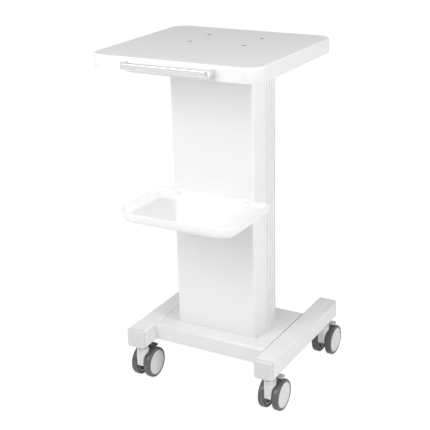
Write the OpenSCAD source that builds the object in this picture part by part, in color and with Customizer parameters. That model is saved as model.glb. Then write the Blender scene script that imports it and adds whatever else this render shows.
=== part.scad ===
// Rolling salon trolley: a square work top on a wide flat column, a dished shelf halfway up the
// column's front, an H-shaped base and four swivelling casters with twin wheels and brake pedals.
// Millimetres, +Z up, the front looks towards -Y, the floor is z = 0.

/* [Work top] */
// Height of the top surface above the floor
total_h = 815.6; // [720:0.1:920]
// Width of the top, side to side
top_w = 401.7; // [391:0.1:460]
// Depth of the top, front to back
top_d = 370.4; // [350:0.1:420]
// Thickness of the top with its skirt
top_t = 31.4; // [30:0.2:46]
// Radius of the top's upright corners
top_r = 35; // [20:1:60]
// Rounding of the top's upper edge
top_edge_r = 4; // [2:0.5:4.5]
// Wall thickness of the moulded top cover
cover_t = 3; // [2.5:0.1:3.4]

/* [Handle] */
// Overall width of the pull handle
handle_w = 209; // [160:1:240]
// Height of the handle's flat bar
handle_h = 13.5; // [12:0.5:16]
// Thickness of the handle's bar
handle_t = 6; // [6:0.5:8]
// How far the handle stands out from the skirt
handle_reach = 26; // [24:0.5:45]

/* [Column] */
// Width of the column
column_w = 206; // [196:1:215]
// Depth of the front cover's side, from its face to the seam
column_front_d = 59.6; // [56:0.1:66]
// Wall thickness of the column's covers
column_wall = 3; // [2.5:0.1:3.2]
// Radius of the column's upright front edges
column_r = 5; // [4:0.5:8]

/* [Shelf] */
// Width of the shelf tray
shelf_w = 286.5; // [240:0.5:320]
// Depth of the shelf tray, front to back
shelf_d = 185.6; // [150:0.1:210]
// Height of the shelf's rim above the floor
shelf_z = 480.5; // [380:0.5:600]
// Height of the tray from its underside to its rim
shelf_h = 26.5; // [24:0.5:36]
// Depth of the dish below the tray's rim
dish_d = 13; // [10:0.5:15]
// Radius of the tray's front corners
shelf_r = 42; // [36:1:60]

/* [Base] */
// Length of each leg, front to back
leg_len = 368.1; // [360:0.1:420]
// Width of a leg
leg_w = 46.3; // [44:0.1:50]
// Height of a leg
leg_h = 46; // [42:0.5:50]
// Gap between the two legs
leg_gap = 292.3; // [284:0.1:300]

/* [Casters] */
// Radius of a wheel over its tyre
wheel_r = 37.5; // [37.5:0.5:39]
// Width of one wheel of a twin
wheel_w = 16.3; // [15.5:0.1:18]
// Distance from the swivel axis back to the axle
trail = 22.1; // [21:0.1:24]
// Height of the legs' underside above the floor
leg_z = 97; // [97:0.2:108]

/* [Hidden] */
// Where the pieces stand in depth, measured from the middle between the swivel axes.
front_y = -89.55;                     // column front face
seam_y = front_y + column_front_d;    // back edge of the front cover
rear_y = 20.7;                        // column back face
top_y = -69.65;                       // middle of the top
plate_y0 = -127.9;                    // front face of the base box
plate_y1 = 85.5;                      // back face of the base box
swivel_y = leg_len / 2 - 33.25;
handle_y = top_y - top_d / 2 - handle_reach;
back_y = swivel_y + trail + wheel_r;
y0 = -(handle_y + back_y) / 2;        // brings the whole depth to either side of the origin

skirt_z = total_h - top_t;            // lower edge of the top
column_top = skirt_z + 2;
plate_t = 4;                          // plate between the column and the core board
board_z = column_top + plate_t;       // underside of the core board
leg_top = leg_z + leg_h;
base_top = leg_top - 1.5;
base_z = leg_z + 4.3;
leg_x = leg_gap / 2 + leg_w / 2;
swivel_x = leg_x + 2;                 // the casters sit a little outside the middle of the legs
cap_h = 11.5;                         // fixed cap between a leg and its caster
cap_r = 14.2;
gap_half = 9.4;                       // half the space between twin wheels
slab = 8.5;                           // half the thickness of the fork between them
hub_r = 30.1;
pin_y = 8;                            // pedal's pin, seen from the axle
pin_z = 29;
screw_x = 66.7;
screw_y = [-55.4, 28.3];              // screws in the top
foot_y = [-70, -6];                   // bolts in the column's foot
bolt_y = [-90, 45];                   // bolts from the base box into the legs
bracket_x = [-55, 55];
bracket_z = shelf_z - dish_d - 3;     // underside of the dish, where the bracket bears
bracket_dz = [-20, -32];              // its bolts, seen from there
tab_x = [83, 91];
handle_z = total_h - 14;
groove_y = [-21.5, -8.5, 1.7];
wide_groove_y = 14.4;
panel_screw_z = [60, 315, 570];
leg_cap = 9.5;
small = 0.05;                         // play in a screw hole

// name, side, front or back
CORNERS = [["fl", -1, -1], ["fr", 1, -1], ["rl", -1, 1], ["rr", 1, 1]];
PIECES = ["housing", "axle", "tyre_left", "hub_left", "tyre_right", "hub_right", "brake_pedal"];

$fn = 64;

module at() translate([0, y0, 0]) children();

module rrect(w, d, r) {
    square([w - 2 * r, d], center = true);
    square([w, d - 2 * r], center = true);
    for (sx = [-1, 1], sy = [-1, 1]) translate([sx * (w / 2 - r), sy * (d / 2 - r)]) circle(r);
}

module slice(z, t = 0.02) translate([0, 0, z]) linear_extrude(t) children();

// a cylinder along X or along Y, from the point it is moved to
module xcyl(r, h) rotate([0, 90, 0]) cylinder(r = r, h = h);
module ycyl(r, h) rotate([-90, 0, 0]) cylinder(r = r, h = h);

// ---------------------------------------------------------------- work top

// a slab from z = 0 to h with upright corners of radius r and its upper edge rounded by e
module puck(r, h, e) rotate_extrude($fn = 96) {
    square([r - e, h]);
    square([r, h - e]);
    intersection() {
        translate([r - e, h - e]) circle(e);
        translate([0, h - e]) square([r, e]);
    }
}

module side_profile(w, h, e) {
    translate([-w / 2, 0]) square([w, h - e]);
    translate([-w / 2 + e, 0]) square([w - 2 * e, h]);
    for (sx = [-1, 1]) translate([sx * (w / 2 - e), h - e]) circle(e);
}

module rounded_slab(w, d, h, r, e) {
    translate([-w / 2 + r, 0, 0]) rotate([90, 0, 90]) linear_extrude(w - 2 * r) side_profile(d, h, e);
    translate([0, d / 2 - r, 0]) rotate([90, 0, 0]) linear_extrude(d - 2 * r) side_profile(w, h, e);
    for (sx = [-1, 1], sy = [-1, 1]) translate([sx * (w / 2 - r), sy * (d / 2 - r), 0]) puck(r, h, e);
}

module top_cover() color("white") at() translate([0, top_y, 0]) difference() {
    translate([0, 0, skirt_z]) rounded_slab(top_w, top_d, top_t, top_r, top_edge_r);
    translate([0, 0, skirt_z - 1])
        linear_extrude(top_t - 3) rrect(top_w - 2 * cover_t, top_d - 2 * cover_t, top_r - cover_t);
    for (sx = [-1, 1], y = screw_y) translate([sx * screw_x, y - top_y, 0]) {
        translate([0, 0, total_h - 6]) cylinder(r = 2.5 + small, h = 8);
        translate([0, 0, total_h - 2.5]) cylinder(r1 = 2.55, r2 = 4.85, h = 2.3);
        translate([0, 0, total_h - 0.21]) cylinder(r = 4.85, h = 1);
    }
    for (sx = [-1, 1]) translate([sx * (handle_w - handle_t) / 2, -top_d / 2 - 1, handle_z])
        ycyl(2 + small, cover_t + 2);
}

module top_board() color("burlywood") at() translate([0, top_y, 0]) difference() {
    translate([0, 0, board_z]) linear_extrude(total_h - 4 - board_z)
        rrect(top_w - 2 * cover_t - 0.6, top_d - 2 * cover_t - 0.6, top_r - cover_t - 0.3);
    for (sx = [-1, 1], y = screw_y) translate([sx * screw_x, y - top_y, board_z - 1])
        cylinder(r = 2.5 + small, h = top_t);
    for (sx = [-1, 1]) translate([sx * (handle_w - handle_t) / 2, -top_d / 2 + 1, handle_z])
        ycyl(6, 14);
}

module top_underpanel() color("white") at() difference() {
    translate([0, top_y, skirt_z + 0.2]) linear_extrude(board_z - skirt_z - 0.2)
        rrect(top_w - 2 * cover_t - 0.8, top_d - 2 * cover_t - 0.8, top_r - cover_t - 0.4);
    translate([0, (front_y + rear_y) / 2, skirt_z - 1]) linear_extrude(10)
        rrect(column_w + 1, rear_y - front_y + 1, 3);
    translate([0, 0, column_top - 0.1]) linear_extrude(10) mount_outline(0.3);
}

module top_screw() difference() {
    union() {
        translate([0, 0, total_h - 2.5]) cylinder(r1 = 2.5, r2 = 4.75, h = 2.25);
        translate([0, 0, column_top + 0.2]) cylinder(r = 2.5, h = total_h - column_top - 2.5);
    }
    for (a = [0, 90]) rotate([0, 0, a + 20]) translate([-2.6, -0.45, total_h - 1.5]) cube([5.2, 0.9, 3]);
}

module top_screws() color("dimgray") at()
    for (sx = [-1, 1], y = screw_y) translate([sx * screw_x, y, 0]) top_screw();

module bar_section() translate([handle_t / 2, 0]) rrect(handle_t, handle_h, 1.8, $fn = 32);

module handle_bar() color("silver") at() translate([0, handle_y, handle_z]) difference() {
    union() {
        // front bar
        translate([-handle_w / 2 + 10, handle_t, 0]) rotate([90, 0, 90])
            mirror([1, 0, 0]) linear_extrude(handle_w - 20) bar_section();
        for (sx = [-1, 1]) mirror([sx < 0 ? 1 : 0, 0, 0]) {
            // bent corner
            translate([handle_w / 2 - 10, 10, 0]) rotate([0, 0, -90])
                rotate_extrude(angle = 90) translate([10 - handle_t, 0]) bar_section();
            // leg back to the skirt
            translate([handle_w / 2 - handle_t, handle_reach, 0]) rotate([90, 0, 0])
                linear_extrude(handle_reach - 10) bar_section();
        }
    }
    for (sx = [-1, 1]) translate([sx * (handle_w - handle_t) / 2, handle_reach - 15, 0])
        ycyl(2 + small, 20);
}

module handle_screws() color("gray") at()
    for (sx = [-1, 1]) translate([sx * (handle_w - handle_t) / 2, top_y - top_d / 2, handle_z]) {
        translate([0, cover_t, 0]) ycyl(3.5, 2.4);
        translate([0, -13, 0]) ycyl(2, 13.5 + cover_t);
    }

// ---------------------------------------------------------------- column

module column_extrusion() color("whitesmoke") at() translate([0, 0, base_top]) difference() {
    ex0 = seam_y + 0.8;
    ex1 = rear_y - column_wall;
    linear_extrude(column_top - base_top) difference() {
        union() {
            translate([-column_w / 2, ex0]) square([column_w, ex1 - ex0]);
            // tongues that the front cover slides over
            for (sx = [-1, 1]) translate([sx * (column_w / 2 - column_wall - 1.5) - 1.2, ex0 - 14])
                square([2.4, 16]);
        }
        // three chambers
        translate([-39, ex0 + 3]) square([78, ex1 - ex0 - 6]);
        for (sx = [-1, 1]) translate([sx * (column_w / 4 + 18.25) - (column_w / 2 - 47.5) / 2, ex0 + 3])
            square([column_w / 2 - 47.5, ex1 - ex0 - 6]);
        // grooves down both sides
        for (sx = [-1, 1]) translate([sx * column_w / 2, 0]) {
            for (y = groove_y) translate([0, y]) square([5, 2.2], center = true);
            translate([0, wide_groove_y]) square([5, 3.4], center = true);
        }
    }
    for (sx = [-1, 1], z = panel_screw_z) translate([sx * 88, ex1 - 4, z]) ycyl(1.75, 6);
}

module column_front_cover() color("white") at() translate([0, 0, base_top]) difference() {
    linear_extrude(column_top - base_top) difference() {
        union() {
            translate([-column_w / 2 + column_r, front_y]) square([column_w - 2 * column_r, 30]);
            translate([-column_w / 2, front_y + column_r]) square([column_w, column_front_d - column_r]);
            for (sx = [-1, 1]) translate([sx * (column_w / 2 - column_r), front_y + column_r])
                circle(column_r);
        }
        ir = column_r - column_wall;
        union() {
            translate([-column_w / 2 + column_r, front_y + column_wall])
                square([column_w - 2 * column_r, 30]);
            translate([-column_w / 2 + column_wall, front_y + column_r])
                square([column_w - 2 * column_wall, column_front_d]);
            for (sx = [-1, 1]) translate([sx * (column_w / 2 - column_r), front_y + column_r]) circle(ir);
        }
    }
    // slots for the shelf's hanger tabs
    for (sx = [-1, 1], x = tab_x) translate([sx * x - 0.8, front_y - 1, shelf_z - 20 - base_top])
        cube([1.6, 5, 16]);
    for (x = bracket_x, dz = bracket_dz) translate([x, front_y - 1, bracket_z + dz - base_top])
        ycyl(2.5 + small, 6);
}

module column_rear_panel() color("white") at() translate([0, 0, base_top]) difference() {
    linear_extrude(column_top - base_top) difference() {
        translate([-column_w / 2, rear_y - column_wall]) square([column_w, column_wall]);
        for (sx = [-1, 1]) translate([sx * column_w / 2, rear_y]) rotate(45) square(2.2, center = true);
    }
    for (sx = [-1, 1], z = panel_screw_z) translate([sx * 88, rear_y - 4, z]) {
        ycyl(2, 8);
        translate([0, 2, 0]) rotate([-90, 0, 0]) cylinder(r1 = 2, r2 = 4.05, h = 2.05);
    }
}

module rear_panel_screws() color("gray") at()
    for (sx = [-1, 1], z = panel_screw_z) translate([sx * 88, rear_y, base_top + z])
        rotate([90, 0, 0]) difference() {
            union() {
                translate([0, 0, 0.05]) cylinder(r1 = 3.85, r2 = 1.7, h = 2.15);
                translate([0, 0, 1]) cylinder(r = 1.7, h = 6);
            }
            for (a = [0, 90]) rotate([0, 0, a]) translate([-1.8, -0.35, -1]) cube([3.6, 0.7, 1.9]);
        }

// blocks that fill the column's chambers at one of its ends
module end_blocks(z, h) translate([0, 0, z]) {
    translate([-88, front_y + 6, 0]) cube([176, column_front_d - 5.2, h]);
    for (sx = [-1, 1]) translate([sx * 69.5 - 26.5, seam_y + 4, 0])
        cube([53, rear_y - column_wall - seam_y - 7.2, h]);
}

// the mounting plate's outline, drawn out by g on every side
module mount_outline(g) translate([-column_w / 2 + 8 - g, front_y + 4 - g])
    square([column_w - 16 + 2 * g, 130 + 2 * g]);

// the plate that the top is screwed to, with blocks that reach down into the column
module head_bracket() color("lightgray") at() difference() {
    union() {
        translate([0, 0, column_top]) linear_extrude(plate_t) mount_outline(0);
        end_blocks(column_top - 14, 14.5);
    }
    for (sx = [-1, 1], y = screw_y) translate([sx * screw_x, y, column_top - 15])
        cylinder(r = 2.5 + small, h = 30);
}

module foot_brackets() color("lightgray") at() difference() {
    end_blocks(base_top, 12);
    for (sx = [-1, 1], y = foot_y) translate([sx * screw_x, y, base_top - 1])
        cylinder(r = 3 + small, h = 14);
}

// ---------------------------------------------------------------- base

module base_bolts() color("gray") at()
    for (sx = [-1, 1], y = foot_y) translate([sx * screw_x, y, base_top - 3]) {
        translate([0, 0, -4]) cylinder(r = 5.7, h = 4, $fn = 6);
        translate([0, 0, -0.5]) cylinder(r = 3, h = 14);
    }

module yz_profile(y_0, y_1, z_0, z_1, r) {
    translate([y_0, z_0]) square([y_1 - y_0, z_1 - z_0 - r]);
    translate([y_0 + r, z_0]) square([y_1 - y_0 - 2 * r, z_1 - z_0]);
    for (y = [y_0 + r, y_1 - r]) translate([y, z_1 - r]) circle(r);
}

module base_box() color("white") at() difference() {
    translate([-leg_gap / 2, 0, 0]) rotate([90, 0, 90]) linear_extrude(leg_gap)
        yz_profile(plate_y0, plate_y1, base_z, base_top, 6);
    translate([-leg_gap / 2 + 3, 0, 0]) rotate([90, 0, 90]) linear_extrude(leg_gap - 6)
        yz_profile(plate_y0 + 3, plate_y1 - 3, base_z - 1, base_top - 3, 3);
    for (sx = [-1, 1], y = foot_y) translate([sx * screw_x, y, base_top - 5]) cylinder(r = 3 + small, h = 8);
    for (y = bolt_y) translate([-leg_gap / 2 - 1, y, leg_z + leg_h / 2]) xcyl(3 + small, leg_gap + 2);
    // narrow gap along both legs
    for (sx = [-1, 1]) translate([sx * leg_gap / 2 - 0.7, plate_y0 - 1, base_top - 5])
        cube([1.4, plate_y1 - plate_y0 + 2, 6]);
}

module base_bottom_plate() color("lightgray") at() translate([0, 0, base_z])
    linear_extrude(2) translate([-leg_gap / 2 + 3.1, plate_y0 + 3.1])
        square([leg_gap - 6.2, plate_y1 - plate_y0 - 6.2]);

module leg(sx) difference() {
    translate([sx * leg_x, leg_len / 2 - leg_cap, leg_z + leg_h / 2]) rotate([90, 0, 0])
        linear_extrude(leg_len - 2 * leg_cap) difference() {
            rrect(leg_w, leg_h, 5);
            rrect(leg_w - 5, leg_h - 5, 2.5);
        }
    for (sy = [-1, 1]) translate([sx * swivel_x, sy * swivel_y, leg_z - 1]) cylinder(r = 6 + small, h = 5);
    for (y = bolt_y) translate([sx * (leg_gap / 2 + 1) - 2, y, leg_z + leg_h / 2]) xcyl(4.5 + small, 5);
}

module leg_left() color("white") at() leg(-1);
module leg_right() color("white") at() leg(1);

module leg_bolts() color("gray") at()
    for (sx = [-1, 1], y = bolt_y) translate([sx * (leg_gap / 2 - 3), y, leg_z + leg_h / 2])
        rotate([0, sx * 90, 0]) {
            translate([0, 0, -4]) cylinder(r = 5.7, h = 4, $fn = 6);
            translate([0, 0, -0.5]) cylinder(r = 3, h = 15.5);
        }

module leg_rivet_nuts() color("silver") at()
    for (sx = [-1, 1], y = bolt_y) translate([sx * leg_gap / 2, y, leg_z + leg_h / 2])
        rotate([0, sx * 90, 0]) difference() {
            union() {
                translate([0, 0, 0.1]) cylinder(r = 4.5, h = 12);
                translate([0, 0, 2.6]) cylinder(r = 6.2, h = 2);
            }
            translate([0, 0, -1]) cylinder(r = 3 + small, h = 16);
        }

module leg_end_cap() {
    rounded_slab(leg_w, leg_h, leg_cap, 5, 4.5);
    translate([0, 0, -8]) linear_extrude(9) rrect(leg_w - 5.4, leg_h - 5.4, 2.3);
}

module leg_end_caps() color("white") at()
    for (sx = [-1, 1], sy = [-1, 1])
        translate([sx * leg_x, sy * (leg_len / 2 - leg_cap), leg_z + leg_h / 2])
            rotate([0, 0, sy > 0 ? 0 : 180]) rotate([-90, 0, 0]) leg_end_cap();

module caster_nut_blocks() color("gray") at()
    for (c = CORNERS) translate([c[1] * swivel_x, c[2] * swivel_y, leg_z + 2.5]) difference() {
        translate([-15, -15, 0]) cube([30, 30, 12]);
        translate([0, 0, -1]) cylinder(r = 6 + small, h = 14);
    }

// ---------------------------------------------------------------- shelf

// the tray's outline with its sides drawn in by i and its back by b
module tray_outline(i, b) {
    r = shelf_r - i;
    w = shelf_w - 2 * i;
    d = shelf_d - i - b;
    translate([-w / 2 + r, front_y - shelf_d + i]) square([w - 2 * r, d]);
    translate([-w / 2, front_y - shelf_d + i + r]) square([w, d - r]);
    for (sx = [-1, 1]) translate([sx * (w / 2 - r), front_y - shelf_d + i + r]) circle(r);
}

module shelf_tray() color("white") at() difference() {
    hull() {
        slice(shelf_z - 0.02) tray_outline(1.0, 0);
        slice(shelf_z - 0.5) tray_outline(0.3, 0);
        slice(shelf_z - 1.4) tray_outline(0, 0);
        slice(shelf_z - 10) tray_outline(0.9, 0);
        for (i = [0 : 5]) let (a = 90 * i / 5, e = 16)
            slice(shelf_z - shelf_h + e * (1 - sin(90 - a)))
                tray_outline(1.5 + e * (1 - cos(90 - a)), 0);
    }
    // the dish
    hull() {
        slice(shelf_z + 1) tray_outline(2.4, 2.4);
        slice(shelf_z - 1.2) tray_outline(3.2, 3);
        for (i = [0 : 5]) let (a = 90 * i / 5, e = dish_d - 3)
            slice(shelf_z - dish_d + e * (1 - sin(90 - a)))
                tray_outline(3.6 + e * (1 - cos(90 - a)), 3 + 0.7 * e * (1 - cos(90 - a)));
    }
    // hollow underside, open towards the column
    hull() {
        slice(bracket_z - 0.02) tray_outline(12, -1);
        slice(shelf_z - shelf_h - 1) tray_outline(22, -1);
    }
    for (sx = [-1, 1], x = tab_x) translate([sx * x - 0.8, front_y - 5, shelf_z - 20])
        cube([1.6, 6, 16]);
}

module shelf_hangers() color("dimgray") at() for (sx = [-1, 1]) {
    translate([sx * 87 - 6.5, front_y + column_wall, shelf_z - 45]) cube([13, 2.5, 70]);
    for (x = tab_x) translate([sx * x - 0.65, front_y - 1.6, shelf_z - 19.5])
        cube([1.3, column_wall + 2.6, 14.5]);
}

module shelf_bracket() color("lightgray") at() translate([0, 0, bracket_z]) {
    difference() {
        translate([-70, front_y - 3, -40]) cube([140, 3, 40]);
        for (x = bracket_x, dz = bracket_dz) translate([x, front_y - 5, dz]) ycyl(2.5 + small, 6);
    }
    translate([-70, front_y - 130, -3]) cube([140, 130, 3]);
    for (x = [-30, 27]) translate([x, front_y - 2, -2]) rotate([90, 0, 90]) linear_extrude(3)
        polygon([[0, 0], [-95, 0], [-95, -3], [-6, -36], [0, -36]]);
}

module bracket_bolts() color("gray") at()
    for (x = bracket_x, dz = bracket_dz) translate([x, front_y - 3, bracket_z + dz]) difference() {
        union() {
            translate([0, -2.8, 0]) ycyl(4.6, 2.8);
            translate([0, -0.5, 0]) ycyl(2.5, 14);
        }
        translate([0, -3.8, 0]) rotate([-90, 0, 0]) cylinder(r = 1.7, h = 2.8, $fn = 6);
    }

module bracket_nuts() color("gray") at()
    for (x = bracket_x, dz = bracket_dz) translate([x, front_y + column_wall, bracket_z + dz])
        difference() {
            rotate([-90, 0, 0]) cylinder(r = 4.6, h = 4, $fn = 6);
            translate([0, -1, 0]) ycyl(2.5 + small, 6);
        }

// ---------------------------------------------------------------- casters

module at_caster(c) at() translate([c[1] * swivel_x, c[2] * swivel_y, 0]) children();

module caster_stems() color("lightgray") for (c = CORNERS) at_caster(c) translate([0, 0, leg_z]) {
    // fixed cap under the leg, threaded end above it and swivel pin below
    translate([0, 0, -cap_h]) cylinder(r1 = cap_r - 0.6, r2 = cap_r, h = 0.6);
    translate([0, 0, -cap_h + 0.6]) cylinder(r = cap_r, h = cap_h - 0.6);
    translate([0, 0, -0.5]) cylinder(r = 6, h = 14);
    translate([0, 0, -40]) cylinder(r = 5, h = 30);
}

module housing() color("gainsboro") difference() {
    head_z = leg_z - cap_h - 1;
    nose_y = trail - wheel_r + 1.8;
    union() {
        // fairing between the wheels, with the axle's boss
        translate([-slab, trail, wheel_r]) rotate([90, 0, 90]) linear_extrude(2 * slab) {
            intersection() {
                circle(wheel_r - 2.5, $fn = 96);
                translate([-50, 2.5]) square([100, 60]);
            }
            circle(9);
        }
        translate([-slab, nose_y, wheel_r + 2.5]) cube([2 * slab, 30, head_z - wheel_r - 24.5]);
        // round head on the swivel pin, drawn in to the fairing below it
        translate([0, 0, head_z - 5.9]) cylinder(r = cap_r, h = 5.9);
        translate([0, 0, head_z - 7]) cylinder(r = cap_r - 0.5, h = 2);
        hull() {
            translate([0, 0, head_z - 12.5]) cylinder(r = cap_r, h = 6, $fn = 48);
            translate([-slab, nose_y, head_z - 23]) cube([2 * slab, 22, 1]);
        }
        translate([0, 0, head_z - 1]) cylinder(r = 11, h = 1.7);
    }
    // clearance for both wheels
    for (sx = [-1, 1]) translate([sx > 0 ? slab : -slab - 30, trail, wheel_r]) xcyl(wheel_r + 1, 30);
    // swivel bore, axle bore and the slot for the pedal's lug
    translate([0, 0, leg_z - 40.5]) cylinder(r = 5 + small, h = 40);
    translate([-30, trail, wheel_r]) xcyl(4 + 0.02, 60);
    translate([-3.3, trail + 1, wheel_r + pin_z - 5]) cube([6.6, 30, 40]);
}

module pedal_pin() translate([-5, trail + pin_y, wheel_r + pin_z]) xcyl(2, 10);

module housing_with_pin() color("gainsboro") { housing(); pedal_pin(); }

module axle() color("silver") translate([5 - gap_half - wheel_w, trail, wheel_r])
    xcyl(4, 2 * (gap_half + wheel_w - 5));

// the pedal's section across both wheels: half width w, top at h, upper corners of radius r
module arch(w, h, r) {
    translate([-w, 0]) square([2 * w, h - r]);
    translate([r - w, 0]) square([2 * (w - r), h]);
    for (sx = [-1, 1]) translate([sx * (w - r), h - r]) circle(r);
}

module brake_pedal() color("dimgray") translate([0, trail, wheel_r]) difference() {
    top = 43;
    t = 2.5;
    union() {
        intersection() {
            translate([0, 17, 0]) rotate([90, 0, 0]) linear_extrude(19) difference() {
                arch(22, top, 8);
                arch(22 - t, top - t, 8 - t);
                translate([-30, -1]) square([60, top - 2]);
            }
            translate([0, 7.5, 0]) linear_extrude(60) rrect(44, 19, 4);
        }
        // lug down to the pivot
        translate([-3, pin_y - 3.6, pin_z]) cube([6, 7.2, top - t / 2 - pin_z]);
        translate([-3, pin_y, pin_z]) xcyl(3.6, 6);
    }
    translate([-4, pin_y, pin_z]) xcyl(2 + 0.06, 8);
}

// one wheel of a twin, drawn outwards from its inner face
module tyre() color("dimgray") rotate([0, 90, 0]) rotate_extrude($fn = 128) {
    shoulder = 4;
    intersection() {
        union() {
            square([wheel_r - shoulder, wheel_w]);
            translate([0, shoulder]) square([wheel_r, wheel_w - 2 * shoulder]);
            for (a = [shoulder, wheel_w - shoulder]) translate([wheel_r - shoulder, a]) circle(shoulder);
        }
        translate([hub_r + small, 0]) square([wheel_r, wheel_w]);
    }
}

module hub() color("gainsboro") rotate([0, 90, 0]) difference() {
    union() {
        difference() {
            translate([0, 0, 1]) cylinder(r = hub_r, h = wheel_w - 1.3, $fn = 128);
            cylinder(r = hub_r - 3.2, h = wheel_w - 4.8, $fn = 96);
            translate([0, 0, wheel_w - 1.3]) cylinder(r1 = hub_r - 2.5, r2 = hub_r - 1.8, h = 1.1, $fn = 96);
        }
        cylinder(r = 10.5, h = wheel_w - 4);
        for (a = [0 : 60 : 300]) rotate([0, 0, a]) translate([8, -0.8, 3])
            cube([hub_r - 10, 1.6, wheel_w - 7]);
        // low dome on the outer face
        translate([0, 0, wheel_w - 1.6]) cylinder(r1 = 20, r2 = 8, h = 0.7);
    }
    translate([0, 0, -1]) cylinder(r = 4 + 0.06, h = wheel_w - 3.2);
}

module wheel_side(s) mirror([s < 0 ? 1 : 0, 0, 0]) translate([gap_half, trail, wheel_r]) children();

top_cover();
top_board();
top_underpanel();
top_screws();
handle_bar();
handle_screws();
column_extrusion();
column_front_cover();
column_rear_panel();
rear_panel_screws();
head_bracket();
foot_brackets();
base_bolts();
base_box();
base_bottom_plate();
leg_left();
leg_right();
leg_bolts();
leg_rivet_nuts();
leg_end_caps();
caster_nut_blocks();
caster_stems();
shelf_tray();
shelf_hangers();
shelf_bracket();
bracket_bolts();
bracket_nuts();
for (c = CORNERS) {
    at_caster(c) housing_with_pin();
    at_caster(c) axle();
    at_caster(c) wheel_side(-1) tyre();
    at_caster(c) wheel_side(-1) hub();
    at_caster(c) wheel_side(1) tyre();
    at_caster(c) wheel_side(1) hub();
    at_caster(c) brake_pedal();
}
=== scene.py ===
"""Looks for the rolling salon trolley: materials on the CAD nodes, camera, floor and studio light."""
import math

import bpy
from mathutils import Matrix, Vector

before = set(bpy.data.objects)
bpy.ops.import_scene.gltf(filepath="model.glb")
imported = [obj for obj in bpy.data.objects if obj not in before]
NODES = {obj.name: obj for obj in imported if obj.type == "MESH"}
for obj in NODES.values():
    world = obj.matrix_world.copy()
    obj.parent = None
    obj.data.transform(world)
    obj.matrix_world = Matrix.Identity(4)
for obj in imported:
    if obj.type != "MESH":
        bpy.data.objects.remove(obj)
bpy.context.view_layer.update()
CORNERS = ("fl", "fr", "rl", "rr")

# ---------------------------------------------------------------- camera

SENSOR_WIDTH = 36
LENS = 83.73
CAMERA_PLACE = (1.0525, -1.89656, 1.22586)
CAMERA_YAW, CAMERA_DIP, CAMERA_ROLL = 29.645, 20.535, -1.427


def make_camera():
    """A studio camera in front of the trolley, to its right and a little above the top."""
    data = bpy.data.cameras.new("camera")
    data.sensor_width = SENSOR_WIDTH
    data.lens = LENS
    data.clip_start = 0.05
    data.clip_end = 60
    camera = bpy.data.objects.new("camera", data)
    bpy.context.scene.collection.objects.link(camera)
    yaw, dip, roll = (math.radians(a) for a in (CAMERA_YAW, CAMERA_DIP, CAMERA_ROLL))
    turn = Matrix.Rotation(yaw, 4, "Z")
    turn = turn @ Matrix.Rotation(math.pi / 2 - dip, 4, "X") @ Matrix.Rotation(roll, 4, "Z")
    camera.matrix_world = Matrix.Translation(CAMERA_PLACE) @ turn
    bpy.context.scene.camera = camera


# ---------------------------------------------------------------- node helpers

# where the colour Mix node keeps its factor, its two colours and its result
MIX_SHARE, MIX_A, MIX_B, MIX_RESULT = 0, 6, 7, 2


class Shader:
    """A material being built: small helpers that add nodes and link them."""

    def __init__(self, name):
        self.material = bpy.data.materials.new(name)
        self.material.use_nodes = True
        self.tree = self.material.node_tree
        self.tree.nodes.clear()
        self.out = self.tree.nodes.new("ShaderNodeOutputMaterial")
        self.bsdf = self.tree.nodes.new("ShaderNodeBsdfPrincipled")
        self.link(self.bsdf.outputs[0], self.out.inputs["Surface"])
        self.place = self.tree.nodes.new("ShaderNodeTexCoord").outputs["Object"]

    def link(self, a, b):
        self.tree.links.new(a, b)

    def put(self, node, socket, value):
        if isinstance(value, bpy.types.NodeSocket):
            self.link(value, node.inputs[socket])
        else:
            node.inputs[socket].default_value = value

    def set(self, **values):
        for name, value in values.items():
            self.put(self.bsdf, name.replace("_", " "), value)

    def node(self, kind, **inputs):
        made = self.tree.nodes.new(kind)
        for name, value in inputs.items():
            self.put(made, name, value)
        return made

    def scaled(self, x, y, z):
        """The object's own coordinates, stretched along each axis."""
        made = self.tree.nodes.new("ShaderNodeMapping")
        self.link(self.place, made.inputs["Vector"])
        made.inputs["Scale"].default_value = (x, y, z)
        return made.outputs[0]

    def noise(self, scale, detail=3.0, rough=0.5, where=None):
        made = self.node("ShaderNodeTexNoise", Scale=scale, Detail=detail, Roughness=rough)
        self.link(where or self.place, made.inputs["Vector"])
        return made.outputs["Fac"]

    def span(self, value, low, high, start=0.3, end=0.7):
        """Carries a value from start..end to low..high."""
        made = self.tree.nodes.new("ShaderNodeMapRange")
        self.put(made, "Value", value)
        ends = (("From Min", start), ("From Max", end), ("To Min", low), ("To Max", high))
        for socket, number in ends:
            made.inputs[socket].default_value = number
        return made.outputs[0]

    def math(self, kind, a, b):
        made = self.tree.nodes.new("ShaderNodeMath")
        made.operation = kind
        self.put(made, 0, a)
        self.put(made, 1, b)
        return made.outputs[0]

    def mix(self, share, a, b):
        made = self.tree.nodes.new("ShaderNodeMix")
        made.data_type = "RGBA"
        self.put(made, MIX_SHARE, share)
        self.put(made, MIX_A, a)
        self.put(made, MIX_B, b)
        return made.outputs[MIX_RESULT]

    def bump(self, height, strength, distance):
        made = self.tree.nodes.new("ShaderNodeBump")
        made.inputs["Strength"].default_value = strength
        made.inputs["Distance"].default_value = distance
        self.link(height, made.inputs["Height"])
        self.link(made.outputs[0], self.bsdf.inputs["Normal"])


def grey(value, warm=0.0):
    """A grey with a little less blue where warm is above zero."""
    return (value, value, value * (1 - warm), 1)


# ---------------------------------------------------------------- materials


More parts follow.
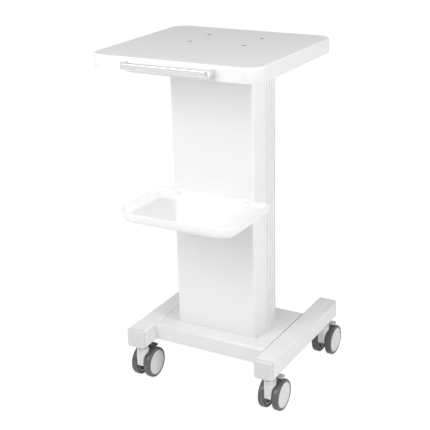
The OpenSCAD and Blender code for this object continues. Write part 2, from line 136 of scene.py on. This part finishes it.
def glossy_white(name, value, rough, peel):
    """Moulded or lacquered white: very small waves in the surface and a faintly uneven tone."""
    s = Shader(name)
    cloud = s.noise(9.0, 3.0)
    s.set(Base_Color=s.mix(s.span(cloud, 0.0, 1.0), grey(value, 0.006), grey(value * 0.985, 0.002)))
    s.set(Roughness=rough, Specular_IOR_Level=0.5, Coat_Weight=0.2, Coat_Roughness=0.06)
    s.bump(s.noise(peel, 0.0), 0.02, 0.00002)
    return s.material


def powder_coat(name, value):
    """Satin powder coat on steel, with its fine pebbled surface."""
    s = Shader(name)
    cloud = s.noise(12.0, 3.0)
    s.set(Base_Color=s.mix(s.span(cloud, 0.0, 1.0), grey(value, 0.004), grey(value * 0.985)))
    s.set(Roughness=s.span(s.noise(200.0, 3.0), 0.3, 0.4))
    s.bump(s.noise(1100.0, 2.0), 0.12, 0.00005)
    return s.material


def polished_metal(name):
    """The handle's brushed and polished flat bar."""
    s = Shader(name)
    lines = s.noise(6.0, 4.0, 0.6, s.scaled(8, 300, 300))
    s.set(Base_Color=s.mix(s.span(lines, 0.0, 1.0), grey(0.86), grey(0.91)))
    s.set(Metallic=1.0, Roughness=s.span(lines, 0.25, 0.34))
    s.bump(lines, 0.1, 0.0001)
    return s.material


def plated_steel(name, value, rough):
    """Zinc, blackened or bare metal with a fine crystalline mottle."""
    s = Shader(name)
    cloud = s.noise(80.0, 5.0, 0.6)
    s.set(Base_Color=s.mix(s.span(cloud, 0.0, 1.0), grey(value * 0.8, -0.03), grey(value)))
    s.set(Metallic=1.0, Roughness=s.span(s.noise(300.0, 3.0), rough * 0.8, rough * 1.2))
    s.bump(s.noise(700.0, 3.0), 0.2, 0.0001)
    return s.material


def fibreboard(name):
    """The raw wood-fibre board inside the work top."""
    s = Shader(name)
    fibres = s.noise(400.0, 6.0, 0.7)
    s.set(Base_Color=s.mix(s.span(fibres, 0.0, 1.0), (0.34, 0.23, 0.13, 1), (0.55, 0.41, 0.26, 1)))
    s.set(Roughness=0.9)
    s.bump(fibres, 0.5, 0.0004)
    return s.material


def moulded(name, value, rough, grain=700.0, depth=0.2):
    """Satin moulded plastic with a fine even grain."""
    s = Shader(name)
    cloud = s.noise(30.0, 3.0)
    s.set(Base_Color=s.mix(s.span(cloud, 0.0, 1.0), grey(value, 0.004), grey(value * 0.97)))
    s.set(Roughness=s.span(s.noise(150.0, 3.0), rough * 0.85, rough * 1.2))
    s.bump(s.noise(grain, 2.0), depth, 0.0002)
    return s.material


def tyre(name):
    """Grey thermoplastic rubber: faintly mottled, worn a little paler in patches."""
    s = Shader(name)
    patches = s.noise(45.0, 4.0, 0.6)
    base = s.mix(s.span(patches, 0.0, 1.0, 0.4, 0.75), grey(0.095, -0.02), grey(0.12, -0.01))
    s.set(Base_Color=base, Roughness=s.span(s.noise(220.0, 4.0), 0.26, 0.4))
    s.bump(s.noise(1400.0, 3.0), 0.15, 0.0001)
    return s.material


MATERIALS = {
    "white_cover": glossy_white("white_cover", 0.8, rough=0.28, peel=160.0),
    "tray_plastic": glossy_white("tray_plastic", 0.87, rough=0.07, peel=40.0),
    "cap_plastic": glossy_white("cap_plastic", 0.67, rough=0.3, peel=200.0),
    "white_paint": powder_coat("white_paint", 0.78),
    "core_board": fibreboard("core_board"),
    "handle_metal": polished_metal("handle_metal"),
    "zinc_steel": plated_steel("zinc_steel", 0.6, rough=0.35),
    "dark_steel": plated_steel("dark_steel", 0.09, rough=0.4),
    "raw_aluminium": plated_steel("raw_aluminium", 0.7, rough=0.42),
    "caster_body": moulded("caster_body", 0.72, rough=0.34),
    "tyre_rubber": tyre("tyre_rubber"),
    "hub_plastic": moulded("hub_plastic", 0.74, rough=0.32),
    "pedal_dark": moulded("pedal_dark", 0.09, rough=0.42, grain=500.0, depth=0.3),
    "pedal_light": moulded("pedal_light", 0.55, rough=0.42, grain=500.0, depth=0.3),
}
# the column carries the same paint as the base; this copy is made whiter as painted light, standing in
# for the brighter light that falls on the column
COLUMN_PAINT_WITH_PAINTED_LIGHT = powder_coat("column_paint_painted_light", 0.85)


def slot_of(node):
    """The record's slot name that a CAD node's first material carries."""
    materials = NODES[node].data.materials
    return materials[0].name.split(".")[0] if len(materials) and materials[0] else ""


def dress_nodes():
    """Gives each CAD node the material that its record slot names; the column nodes get the base
    paint's whiter copy, which is painted light.
    """
    for name, obj in NODES.items():
        slot = slot_of(name)
        if slot not in MATERIALS:
            raise RuntimeError(f"no material for {name}: {slot}")
        # column nodes get the whiter copy of the base paint: painted light
        material = COLUMN_PAINT_WITH_PAINTED_LIGHT if name.startswith("column_") else MATERIALS[slot]
        for i in range(len(obj.material_slots)):
            obj.material_slots[i].material = material


# ---------------------------------------------------------------- soft edges

JOIN_DISTANCE = 0.00002
EDGE_SEGMENTS = 2
SHARP_ANGLE = 35
# edge radii in metres
SHEET_EDGE = 0.0004
BAR_EDGE = 0.0005
MOULDED_EDGE = 0.0006
HOUSING_EDGE = 0.0007


def soften(name, width):
    """Rejoins the node's faces and rounds its sharp edges a little."""
    obj = NODES[name]
    weld = obj.modifiers.new("weld", "WELD")
    weld.merge_threshold = JOIN_DISTANCE
    bevel = obj.modifiers.new("bevel", "BEVEL")
    bevel.width = width
    bevel.segments = EDGE_SEGMENTS
    bevel.limit_method = "ANGLE"
    bevel.angle_limit = math.radians(SHARP_ANGLE)
    bevel.harden_normals = True
    bevel.use_clamp_overlap = True


def soften_nodes():
    """Each listed moulded, painted or metal piece gets a small edge radius."""
    for name in ("column_front_cover", "column_rear_panel", "column_extrusion", "shelf_hangers",
                 "leg_end_caps"):
        soften(name, SHEET_EDGE)
    for name in ("base_box", "leg_left", "leg_right", "shelf_bracket", "top_cover"):
        soften(name, MOULDED_EDGE)
    soften("handle_bar", BAR_EDGE)
    for corner in CORNERS:
        soften("housing_" + corner, HOUSING_EDGE)
        soften("brake_pedal_" + corner, MOULDED_EDGE)
        for side in ("left", "right"):
            soften(f"hub_{side}_{corner}", MOULDED_EDGE)
            soften(f"tyre_{side}_{corner}", BAR_EDGE)


# ---------------------------------------------------------------- floor and light

WORLD_GLOW = 0.28
FLOOR_HALF = 50.0
FLOOR_WHITE = 0.9
# the even white that the camera sees, and how much of it a reflection on the trolley sees
FLOOR_SEEN = 0.95
FLOOR_IN_REFLECTIONS = 0.5
# name, place, what it points at, width and height, power
LIGHTS = (
    ("left", (-3.4, 0.4, 1.5), (0, 0, 0.5), (1.8, 2.0), 20),
    ("above", (0.0, 0.2, 3.4), (0, 0, 0.5), (2.0, 2.0), 21),
    ("above_back", (0.0, 2.6, 2.6), (0, 0, 0.6), (2.6, 1.4), 8),
    ("front_top", (0.0, -1.3, 1.75), (0, -0.2, 0.8), (1.2, 0.5), 8.4),
    ("front", (-0.6, -1.4, 1.2), (0, -0.2, 0.6), (0.9, 0.7), 10.5),
    ("right", (1.7, -0.3, 1.15), (0, 0, 0.65), (0.6, 0.9), 16.5),
    ("top", (0.0, -1.0, 2.3), (0, -0.1, 0.8), (1.2, 0.5), 4),
)


def make_floor():
    """A wide white floor that lights the trolley like paper but looks evenly white to the camera."""
    mesh = bpy.data.meshes.new("floor")
    corners = [(FLOOR_HALF * x, FLOOR_HALF * y, 0) for x, y in ((-1, -1), (1, -1), (1, 1), (-1, 1))]
    mesh.from_pydata(corners, [], [(0, 1, 2, 3)])
    floor = bpy.data.objects.new("floor", mesh)
    bpy.context.scene.collection.objects.link(floor)
    s = Shader("floor_white")
    s.set(Base_Color=grey(FLOOR_WHITE), Roughness=0.8, Specular_IOR_Level=0.2)
    seen = s.node("ShaderNodeBsdfPrincipled", Roughness=0.8)
    s.put(seen, "Base Color", grey(0.2))
    s.put(seen, "Emission Color", grey(1.0))
    s.put(seen, "Emission Strength", FLOOR_SEEN)
    rays = s.node("ShaderNodeLightPath").outputs
    mirrored = s.math("MULTIPLY", rays["Is Glossy Ray"], FLOOR_IN_REFLECTIONS)
    choice = s.node("ShaderNodeMixShader", Fac=s.math("MAXIMUM", rays["Is Camera Ray"], mirrored))
    s.link(s.bsdf.outputs[0], choice.inputs[1])
    s.link(seen.outputs[0], choice.inputs[2])
    s.link(choice.outputs[0], s.out.inputs["Surface"])
    mesh.materials.append(s.material)


def area_light(name, place, target, size, power):
    data = bpy.data.lights.new(name, "AREA")
    data.shape = "RECTANGLE"
    data.size, data.size_y = size
    data.energy = power
    light = bpy.data.objects.new(name, data)
    light.location = place
    light.rotation_euler = (Vector(target) - Vector(place)).to_track_quat("-Z", "Y").to_euler()
    bpy.context.scene.collection.objects.link(light)


def make_world():
    """A weak even glow from all around."""
    world = bpy.data.worlds.new("studio")
    bpy.context.scene.world = world
    world.use_nodes = True
    back = world.node_tree.nodes["Background"]
    back.inputs["Color"].default_value = grey(1.0)
    back.inputs["Strength"].default_value = WORLD_GLOW


def make_lights():
    for light in LIGHTS:
        area_light(*light)


def set_view():
    """Plain colours, with no film look."""
    view = bpy.context.scene.view_settings
    view.view_transform = "Standard"
    view.look = "None"


make_camera()
dress_nodes()
soften_nodes()
make_floor()
make_world()
make_lights()
set_view()
